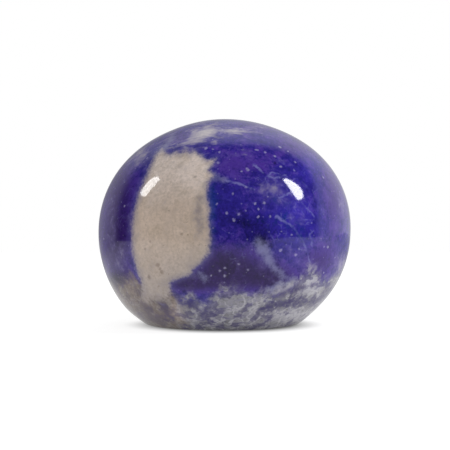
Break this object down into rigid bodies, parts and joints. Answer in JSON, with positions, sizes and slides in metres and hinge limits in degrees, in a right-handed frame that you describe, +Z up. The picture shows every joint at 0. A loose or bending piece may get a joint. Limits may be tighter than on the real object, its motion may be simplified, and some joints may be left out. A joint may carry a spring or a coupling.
{
  "type": "polished lapis lazuli stone",
  "caption": "Polished lapis lazuli stone: a slightly flattened ball of deep blue rock with a cream calcite patch, standing on a small flat spot.",
  "frame": {"origin": "middle of the stone's plan, at the level of the flat spot that it stands on", "axes": "+Z up, away from the flat spot; -Y towards the front, with the cream calcite patch left of its middle; +X to the right, along the widest way"},
  "size_m": [0.07, 0.067, 0.057],
  "materials": {
    "polished_lapis": "polished to a gloss, deep violet blue with cream and grey calcite"
  },
  "bodies": {
    "root": {"lapis_stone": "polished_lapis"}
  },
  "joints": []
}
